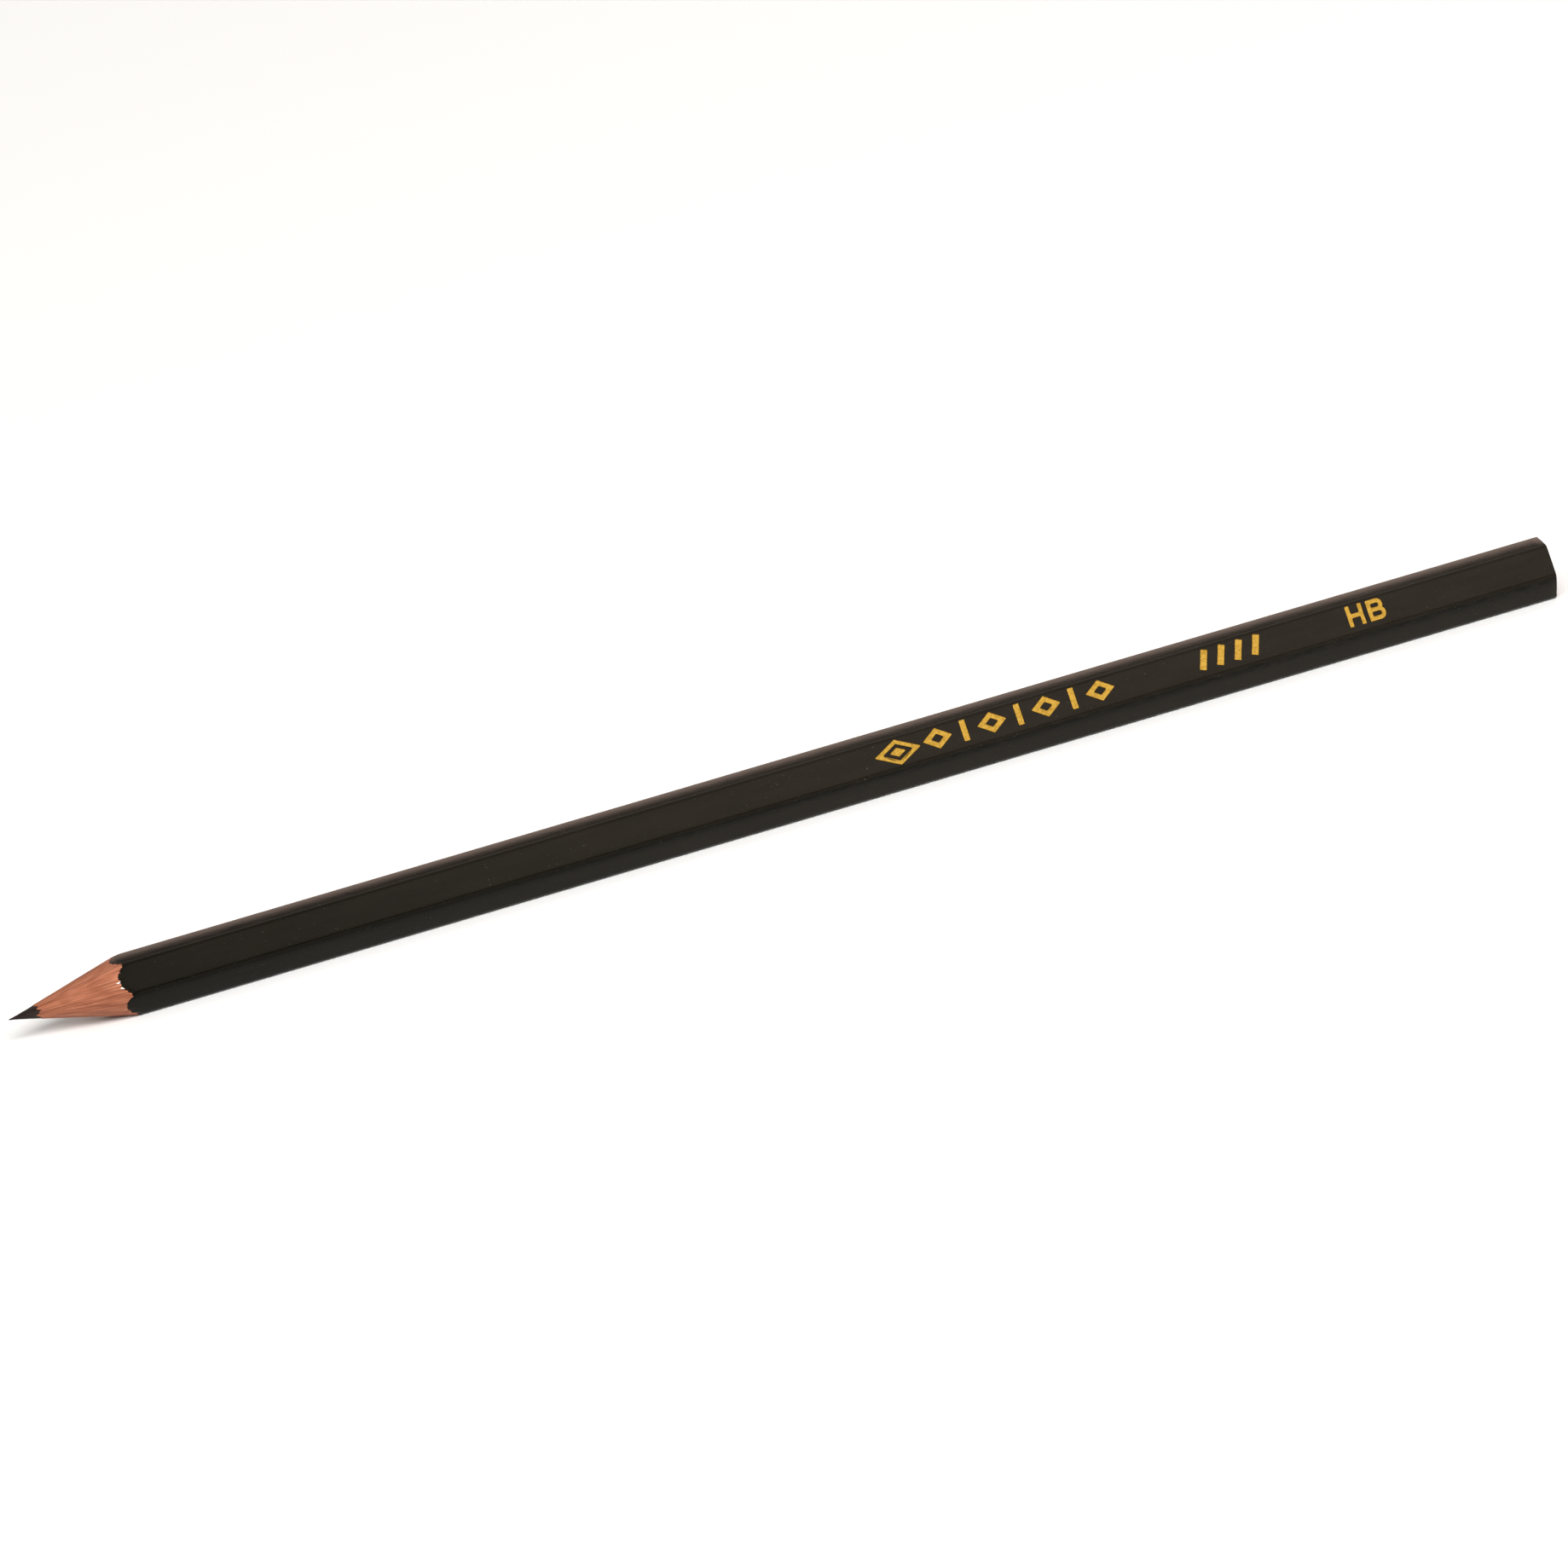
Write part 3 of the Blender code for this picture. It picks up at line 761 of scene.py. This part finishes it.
ON_FACE = 0.9  # cosine of the angle from the marked face's normal, past which is another face
NEAR_LACQUER = math.cos(math.radians(35))  # the same, for what a pocket may reach
NEAR_FOIL = math.cos(math.radians(45))  # the same, for what foil may cover
EDGE_STEPS = 14  # places on each round edge of the coats
FOIL_FLAT_STEPS, FOIL_EDGE_STEPS = (4, 4, 200, 4, 4, 4), 60
LACQUER_FLAT_STEPS = (20, 36, 52, 36, 20, 20)  # places on each flat, most on the marked one
ZONE_MARGIN = 0.15  # beside a mark
ZONE_GAP = 0.5  # marks that are nearer than this share a zone
COARSE_STEP, FINE_STEP = 1.0, 0.10  # between the lacquer's rows off and on the marks
MARK_REACH = 3.2  # past which a mark's pocket has ended
CHIPPED_MARKED, CHIPPED_OTHER = 0.42, 0.25  # how far the lacquer has broken back in the middle of a flat
CHIP_FADE = 0.3  # the rise from a flat's middle, over which that ends
COARSE_TOOTH = (0.46, 0.50)  # (pitch, length)
FINE_TOOTH = (0.24, 0.34)
TORN_WAVE = (1.1, 0.10)  # (length along the edge, height) of its slow waves
TORN_LEAST = 0.02
FINE_ROW, WAVE_ROW = 40, 6.6
INNER_TORN = 0.75  # of the torn edge's depth, on the inside of the coat
EDGE_SINK = 0.03  # how far the coat's outer side dips at its torn edge
SINK_SHARE = 0.10
SETTLE_LENGTH = 1.0  # from the torn edge's last tooth to the first straight row
INNER_SHARES = (0.0, 0.5)  # rows on the torn edge's thickness
OUTER_SHARES = (0.0, 0.04, 0.10, 0.20, 0.35, 0.55, 0.78)  # rows from the torn edge to the first straight one
LIP_START, LIP_LENGTH, LIP_DEPTH, LIP_SINK = 0.06, 0.02, 0.04, 0.012  # of the coat at the sawn end
SLAT_COLUMNS = 170
SLAT_PROFILE = ((30,) * 6, 20)  # places on each flat and on each edge
SLAT_SETTLE = 0.9  # behind the cone's last place and behind the wood's ragged start
END_GAP = 0.03  # what lies inside the pencil ends this far before the lacquer does
CONE_ROWS, BAR_ROWS, END_ROWS = 160, 60, 26  # of each slat
RAGGED_START = 0.40  # how far in front of the groove's start the wood begins
LONG_SPLINTER = (0.60, 0.50)  # (pitch, length)
SHORT_SPLINTER = (0.23, 0.22)
LONG_FIBRES = (5.0, 14)  # (length, how many places of the noise go round the cone's radius)
SHORT_FIBRES = (2.4, 31)
SHORT_FIBRE_SHARE = 0.6
FIBRE_HEIGHT = 0.014
FIBRE_SINK = 0.004  # keeps the wood under the smooth cone
SAW_ROUGHNESS = 0.012
SEAM_INSET = 0.22  # of the glue in the seams from the pencil's corner
GLUE_GAP = 0.012  # between the sleeve of glue and what it holds
TIP_RADIUS = 0.035
TIP_STEPS = 6
BLUNTING, BLUNTING_LENGTH = 0.045, 0.6  # extra radius at the point, and how soon it fades behind it
GRAPHITE_INSET = 0.014  # under the wood
LONG_STREAKS = (3.0, 9)  # as for the fibres
SHORT_STREAKS = (1.2, 23)
SHORT_STREAK_SHARE = 0.5
STREAK_HEIGHT = 0.009
CORE_COLUMNS = 120
CORE_CHAMFER = 0.02
STREAKS_SETTLE = 0.8  # behind the point
FLECK_REACH = 0.20  # how far behind the clean cut a fleck of primer starts

def stations(*stretches):
    """x values from (start, end, step) stretches, each end the next one's start."""
    values = []
    for start, end, step in stretches:
        count = max(1, round((end - start) / step))
        values.extend(np.linspace(start, end, count, endpoint=False))
    return np.array(values + [stretches[-1][1]])


def mark_zones(shapes):
    """Stretches of x that hold marks, in order, joined where they nearly touch."""
    spans = []
    for x, outlines in shapes.values():
        reach = max(abs(p[0]) for o in outlines for p in o) + ZONE_MARGIN
        spans.append([x - reach, x + reach])
    spans.sort()
    zones = [spans[0]]
    for low, high in spans[1:]:
        if low < zones[-1][1] + ZONE_GAP:
            zones[-1][1] = max(high, zones[-1][1])
        else:
            zones.append([low, high])
    return zones


def on_marked_face(outs):
    return outs @ MARK_OUT > ON_FACE


def torn_edge(noise, profile):
    """How far behind the clean cut the lacquer's edge has broken away, at each place round the bar."""
    points, outs = profile
    place = profile_lengths(points)
    flat_middle = np.clip(1 - (np.linalg.norm(points, axis=1) - HALF_FLAT) / CHIP_FADE, 0, 1)
    chipped = np.where(on_marked_face(outs), CHIPPED_MARKED, CHIPPED_OTHER) * flat_middle
    coarse = COARSE_TOOTH[1] * teeth(noise, place, COARSE_TOOTH[0])
    fine = FINE_TOOTH[1] * teeth(noise, place + FINE_ROW, FINE_TOOTH[0])
    wave = TORN_WAVE[1] * noise(place / TORN_WAVE[0], WAVE_ROW)
    return TORN_LEAST + chipped + coarse + fine + wave


def make_lacquer(shapes, material):
    """The black coat: a shell with a torn sharpened edge, a soft back lip and a pocket for each mark."""
    profile = make_profile(LACQUER_FLAT_STEPS, EDGE_STEPS)
    torn = torn_edge(Ripples(TORN_SEED), profile)
    front = cone_x(bar_points(profile, 0)) + torn
    inner_front = cone_x(bar_points(profile, LACQUER)) + torn * INNER_TORN
    settled = front.max() + SETTLE_LENGTH
    stretches = []
    at = settled
    for low, high in mark_zones(shapes):
        stretches += [(at, low, COARSE_STEP), (low, high, FINE_STEP)]
        at = high
    stretches.append((at, END_X - LIP_START, COARSE_STEP))

    points, outs = profile
    near_marked = outs @ MARK_OUT > NEAR_LACQUER
    up_face = points[near_marked] @ MARK_UP - MARK_RISE

    rows = []
    for share in INNER_SHARES:
        x = inner_front * (1 - share) + front * share
        rows.append(row(x, bar_points(profile, LACQUER * (1 - share))))
    for share in OUTER_SHARES:
        sink = EDGE_SINK * max(0.0, 1 - share / SINK_SHARE) ** 2
        rows.append(row(front + (settled - front) * share, bar_points(profile, sink)))
    for x in stations(*stretches):
        inset = np.zeros(len(points))
        for middle, outlines in shapes.values():
            if abs(x - middle) > MARK_REACH:
                continue
            spots = np.column_stack([np.full(len(up_face), x - middle), up_face])
            depth = np.clip((POCKET_REACH - signed_distance(spots, outlines)) / POCKET_WALL, 0, 1)
            pocket = POCKET_DEPTH * depth * depth * (3 - 2 * depth)
            inset[near_marked] = np.maximum(inset[near_marked], pocket)
        rows.append(row(x, bar_points(profile, inset)))
    # the lip at the sawn end, and the inside
    rows.append(row(END_X - LIP_LENGTH, bar_points(profile, LIP_SINK)))
    rows.append(row(END_X, bar_points(profile, LIP_DEPTH)))
    rows.append(row(END_X, bar_points(profile, LACQUER)))
    rows.append(row(settled, bar_points(profile, LACQUER)))
    # how strongly painted shade darkens the lacquer near its round edges, for each vertex
    edge = np.concatenate([painted_edge_shade(profile, r[:, 0]) for r in rows])
    faces = ring_faces(len(rows), len(points), True)
    verts = np.concatenate(rows)
    piece = add_mesh("lacquer_shell", verts, faces, material, 50, [("edge", edge)])
    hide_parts("lacquer_coat")


def ragged_start(noise, turn):
    """Where the wood's torn front edge lies over the graphite, for each angle round the axis."""
    place = turn * CORE_RADIUS
    around = np.column_stack([np.cos(turn), np.sin(turn)])
    long = LONG_SPLINTER[1] * teeth(noise, place + 20, LONG_SPLINTER[0])
    short = SHORT_SPLINTER[1] * teeth(noise, place + 60, SHORT_SPLINTER[0])
    start = cone_x(around, CORE_RADIUS) - RAGGED_START
    return start + (long + short) + 0.30 * noise(place * 0.8, 4.4)


def make_slats(material):
    """The two cedar halves: the sharpened cone with its fibres, the sawn end and the seam faces."""
    points = bar_points(make_profile(*SLAT_PROFILE), UNDER_LACQUER)
    reach = np.linalg.norm(points, axis=1)
    angle = np.arctan2(points[:, 1], points[:, 0])
    order = np.argsort(angle)
    noise = Ripples(WOOD_SEED)
    count = SLAT_COLUMNS
    for name, node, side in (("cedar_upper", "upper_slat", 1), ("cedar_lower", "lower_slat", -1)):
        turn = np.linspace(0, math.pi, count + 1) * side
        around = np.column_stack([np.cos(turn), np.sin(turn)])
        bar = np.interp(turn, angle[order], reach[order], period=2 * math.pi)
        start = ragged_start(noise, turn)
        slope = slope_at(around)
        far = cone_x(around, bar).max() + SLAT_SETTLE
        rows = []
        for share in np.linspace(0, 1, CONE_ROWS):
            x = start + (far - start) * share
            r = np.minimum((x - POINT_X) * slope, bar)
            long = noise(x / LONG_FIBRES[0], *(around * LONG_FIBRES[1]).T)
            short = noise(x / SHORT_FIBRES[0] + 9, *(around * SHORT_FIBRES[1]).T)
            fibre = long + SHORT_FIBRE_SHARE * short
            open_wood = np.clip((x - start) / 0.25, 0, 1) * np.clip((bar - r) / 0.03, 0, 1)
            r = r + FIBRE_HEIGHT * fibre * open_wood - FIBRE_SINK
            rows.append(np.column_stack([x, r[:, None] * around]))
        for x in np.linspace(far, END_X - END_GAP, BAR_ROWS)[1:]:
            rows.append(row(x, bar[:, None] * around))
        for share in np.linspace(0, 1, END_ROWS):
            r = (bar * (1 - share) + GROOVE * share)[:, None]
            swell = noise(*(r * around / 0.12).T, side * 7.0)
            rows.append(np.column_stack([END_X - 0.02 + SAW_ROUGHNESS * swell, r * around]))
        rows.append(row(far, GROOVE * around))
        rows.append(np.column_stack([start + SLAT_SETTLE, GROOVE * around]))
        thin = np.minimum(GROOVE, (start - POINT_X) * slope - 0.012)
        rows.append(np.column_stack([start, thin[:, None] * around]))
        verts = np.concatenate(rows)
        verts[:, 2] += side * SEAM
        piece = add_mesh(name, verts, open_faces(len(rows), count + 1), material, 60)
        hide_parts(node)


def make_seams(material):
    """The two glue films between the slats, each a thin sheet that ends a hair under the cone."""
    for node, side in (("front_seam_glue", -1), ("rear_seam_glue", 1)):
        around = np.array(((float(side), 0.0),))
        first = cone_x(around, GROOVE)[0] + 0.4
        last = cone_x(around, HALF_FLAT / COS_30 - 0.3)[0]
        outline = []
        widest = HALF_CORNER - SEAM_INSET
        for x in np.linspace(first, last, 40):
            outline.append((x, min((x - POINT_X) * slope_at(around)[0] - 0.02, widest)))
        outline += [(x, widest) for x in np.linspace(last + 1, END_X - 0.05, 20)]
        count = len(outline)
        verts = []
        for z in (-SEAM * 0.8, SEAM * 0.8):
            verts += [(x, side * y, z) for x, y in outline]
            verts += [(x, side * GROOVE, z) for x, y in outline]
        faces = []
        for i in range(count - 1):
            outer, inner = (i, i + 1), (count + i, count + i + 1)
            top = 2 * count
            faces.append((*outer, *inner[::-1]))
            faces.append(tuple(v + top for v in (*outer, *inner[::-1])))
            faces.append((*outer, outer[1] + top, outer[0] + top))
            faces.append((*inner, inner[1] + top, inner[0] + top))
        for i in (0, count - 1):
            faces.append((i, count + i, count + i + 2 * count, i + 2 * count))
        piece = add_mesh(node + "_film", verts, faces, material, 30)
        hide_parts(node)


def make_core_glue(material):
    """The sleeve of glue round the graphite."""
    turn = np.linspace(0, 2 * math.pi, 96, endpoint=False)
    around = np.column_stack([np.cos(turn), np.sin(turn)])
    first = cone_x(around, CORE_RADIUS).max() + 0.5
    last = END_X - 0.025
    inner, outer = CORE_RADIUS + GLUE_GAP, GROOVE - GLUE_GAP
    corners = ((first, inner), (first, outer), (last, outer), (last, inner))
    rows = [row(x, radius * around) for x, radius in corners]
    faces = ring_faces(len(rows), len(turn), True)
    piece = add_mesh("core_glue_sleeve", np.concatenate(rows), faces, material)
    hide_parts("core_glue")


def make_core(material):
    """The graphite: a turned point with the sharpener's fine streaks, and a broken-off flat end."""
    noise = Ripples(GRAPHITE_SEED)
    count = CORE_COLUMNS
    turn = np.linspace(0, 2 * math.pi, count, endpoint=False)
    around = np.column_stack([np.cos(turn), np.sin(turn)])
    slope = slope_at(around)
    rows = []
    for swing in np.linspace(0, math.pi / 2, TIP_STEPS)[:-1]:
        x = POINT_X + 0.002 + TIP_RADIUS * (1 - math.cos(swing))
        rows.append(row(x, TIP_RADIUS * math.sin(swing) * around))
    near = POINT_X + np.array((0.06, 0.12, 0.20))
    far = np.linspace(POINT_X + 0.30, cone_x(around, CORE_RADIUS).max() + 0.6, 80)
    for x in np.concatenate((near, far)):
        blunt = BLUNTING * math.exp((POINT_X - x) / BLUNTING_LENGTH)
        settled = min(1, (x - POINT_X) / STREAKS_SETTLE)
        cone = (x - POINT_X) * slope + blunt - GRAPHITE_INSET * settled
        radius = np.minimum(cone, CORE_RADIUS)
        long = noise(*(around * LONG_STREAKS[1]).T, x / LONG_STREAKS[0])
        short = noise(*(around * SHORT_STREAKS[1]).T, x / SHORT_STREAKS[0])
        streak = long + SHORT_STREAK_SHARE * short
        radius = radius + STREAK_HEIGHT * (streak - 1) * settled
        rows.append(row(x, radius[:, None] * around))
    rows.append(row(END_X - END_GAP, CORE_RADIUS * around))
    rows.append(row(END_X - 0.01, (CORE_RADIUS - CORE_CHAMFER) * around))
    for share in np.linspace(0, 0.97, 14)[1:]:
        disc = (CORE_RADIUS - CORE_CHAMFER) * (1 - share) * around
        swell = noise(*(disc / 0.1).T, 2.0)
        rows.append(np.column_stack([END_X - 0.008 + 0.008 * swell, disc]))
    faces = ring_faces(len(rows), count, False)
    faces.append(tuple(range(count - 1, -1, -1)))
    faces.append(tuple(range((len(rows) - 1) * count, len(rows) * count)))
    piece = add_mesh("graphite", np.concatenate(rows), faces, material, 60)
    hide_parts("graphite_core")


def make_primer(material):
    """The pale coat under the lacquer. It only shows as flecks where its torn edge stands out."""
    profile = make_profile((40,) * 6, EDGE_STEPS)
    points, outs = profile
    covered = bar_points(profile, LACQUER)
    torn = torn_edge(Ripples(TORN_SEED), make_profile(LACQUER_FLAT_STEPS, EDGE_STEPS))
    hidden = cone_x(covered) + torn.max() * INNER_TORN + 0.1
    up_face = points @ MARK_UP
    on_marked = on_marked_face(outs)
    fleck = np.zeros(len(points))
    for middle, half in FLECKS:
        fleck = np.maximum(fleck, np.where(on_marked, np.exp(-(((up_face - middle) / half) ** 2)), 0))
    shown = hidden - cone_x(covered) - FLECK_REACH
    front = hidden - shown * np.clip(fleck * 1.6, 0, 1)
    settled = hidden.max() + SETTLE_LENGTH
    outer = bar_points(profile, LACQUER + 0.001)
    inner = bar_points(profile, LACQUER + 0.008)
    rows = [
        row(front, bar_points(profile, LACQUER + 0.006)),
        row(front + 0.02, outer),
        row(settled, outer),
        row(END_X - END_GAP, outer),
        row(END_X - END_GAP, inner),
        row(settled, inner),
    ]
    faces = ring_faces(len(rows), len(points), True)
    piece = add_mesh("primer_film", np.concatenate(rows), faces, material)
    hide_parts("primer_coat")


def make_foils(shapes, material):
    """Each mark as a thin gold dish, pressed into the lacquer, whose sides curl up to its rim."""
    points, outs = make_profile(FOIL_FLAT_STEPS, FOIL_EDGE_STEPS)
    near = outs @ MARK_OUT > NEAR_FOIL
    ups, heights = points[near] @ MARK_UP, points[near] @ MARK_OUT
    order = np.argsort(ups)
    for node, (middle, outlines) in shapes.items():
        curve = bpy.data.curves.new(node + "_outline", "CURVE")
        curve.dimensions = "2D"
        curve.fill_mode = "BOTH"
        curve.extrude = FOIL_WALL / 50
        curve.bevel_depth = FOIL_WALL
        curve.bevel_resolution = 3
        curve.offset = -FOIL_WALL
        for outline in outlines:
            spline = curve.splines.new("POLY")
            spline.points.add(len(outline) - 1)
            for point, (x, y) in zip(spline.points, outline):
                point.co = (x, y, 0, 1)
            spline.use_cyclic_u = True
        drawn = link(bpy.data.objects.new(node + "_outline", curve))
        bpy.context.view_layer.update()
        filled = drawn.evaluated_get(bpy.context.evaluated_depsgraph_get())
        mesh = bpy.data.meshes.new_from_object(filled)
        bpy.data.objects.remove(drawn, do_unlink=True)
        bm = bmesh.new()
        bm.from_mesh(mesh)
        bmesh.ops.remove_doubles(bm, verts=bm.verts, dist=1e-5)
        bmesh.ops.triangulate(bm, faces=[f for f in bm.faces if len(f.verts) > 4])
        flat = np.array([v.co for v in bm.verts])
        faces = [tuple(v.index for v in f.verts) for f in bm.faces]
        bm.free()
        depth = np.abs(flat[:, 2]) / (FOIL_WALL * 1.02)
        height = FOIL_RIM - depth * FOIL_DISH - np.where(flat[:, 2] < 0, FOIL_THICKNESS, 0)
        up = flat[:, 1] + MARK_RISE
        height = height + np.interp(up, ups[order], heights[order])
        placed = np.outer(up, MARK_UP) + np.outer(height, MARK_OUT)
        verts = np.column_stack([flat[:, 0] + middle, placed])
        # rim also sets how much painted shade darkens the foil towards its outline
        piece = add_mesh("foil_" + node, verts, faces, material, 60, [("rim", 1 - depth)])
        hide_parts(node)


def main():
    make_camera()
    make_studio()
    shapes = mark_shapes()
    glue = glue_material()
    make_lacquer(shapes, lacquer_material())
    make_primer(primer_material())
    make_slats(cedar_material())
    make_seams(glue)
    make_core_glue(glue)
    make_core(graphite_material())
    make_foils(shapes, foil_material())


main()
